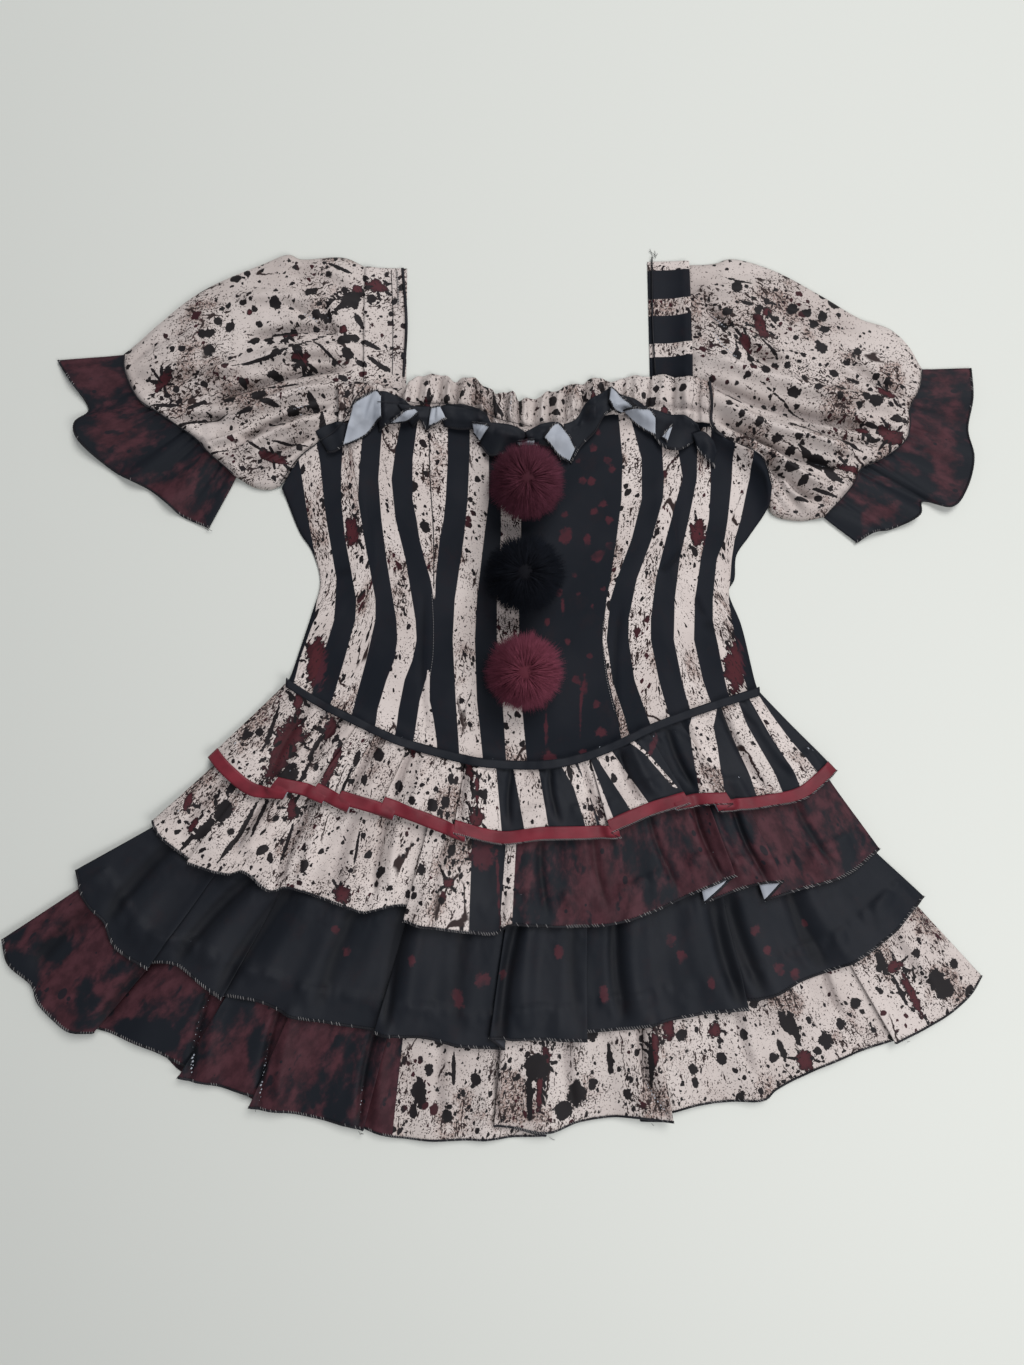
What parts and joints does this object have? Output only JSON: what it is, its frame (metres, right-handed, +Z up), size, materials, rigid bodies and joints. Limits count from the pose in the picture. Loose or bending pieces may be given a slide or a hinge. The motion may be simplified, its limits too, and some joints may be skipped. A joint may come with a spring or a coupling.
{
  "type": "jester costume",
  "caption": "Jester dress laid flat: striped bodice with puff sleeves, gathered neck frill, fur pompoms and a gathered skirt in tiers.",
  "frame": {"origin": "On the surface that the costume lies on, under the middle of the bodice back above the waist.", "axes": "+Z up from that surface, +Y from the skirt towards the neck, +X to the right in the picture, across the front."},
  "size_m": [0.878, 0.7918, 0.0703],
  "materials": {
    "cream_cloth": "cream polyester with dark red and charcoal splatter and stripes, dull satin face",
    "mottled_red_cloth": "dark red polyester mottled with charcoal, dull satin face",
    "charcoal_cloth": "charcoal polyester with faint dark red spots, dull face, grey reverse",
    "red_ribbon": "dark red satin ribbon",
    "red_fur": "dark red long-pile faux fur",
    "black_fur": "black long-pile faux fur"
  },
  "bodies": {
    "root": {"waist_band_back": "charcoal_cloth", "bodice_back": "mottled_red_cloth", "sleeve_left_back": "cream_cloth", "cuff_left_back": "mottled_red_cloth", "sleeve_right_back": "cream_cloth", "cuff_right_back": "mottled_red_cloth", "cuff_left_front": "mottled_red_cloth", "sleeve_left_front": "cream_cloth", "cuff_right_front": "mottled_red_cloth", "sleeve_right_front": "cream_cloth", "ribbon_back": "red_ribbon", "tier_1_back": "cream_cloth", "tier_2_back": "mottled_red_cloth", "tier_3_back": "charcoal_cloth", "tier_4_back": "cream_cloth", "tier_4_front": "cream_cloth", "tier_3_front": "charcoal_cloth", "tier_2_front": "mottled_red_cloth", "tier_1_front": "cream_cloth", "ribbon_front": "red_ribbon", "strap_left_back": "cream_cloth", "strap_left_front": "cream_cloth", "strap_right_back": "charcoal_cloth", "strap_right_front": "charcoal_cloth", "bodice_front": "cream_cloth", "waist_band_front": "charcoal_cloth", "neck_ruffle": "charcoal_cloth", "neck_frill": "cream_cloth", "pompom_top": "red_fur", "pompom_middle": "black_fur", "pompom_bottom": "red_fur"}
  },
  "joints": []
}
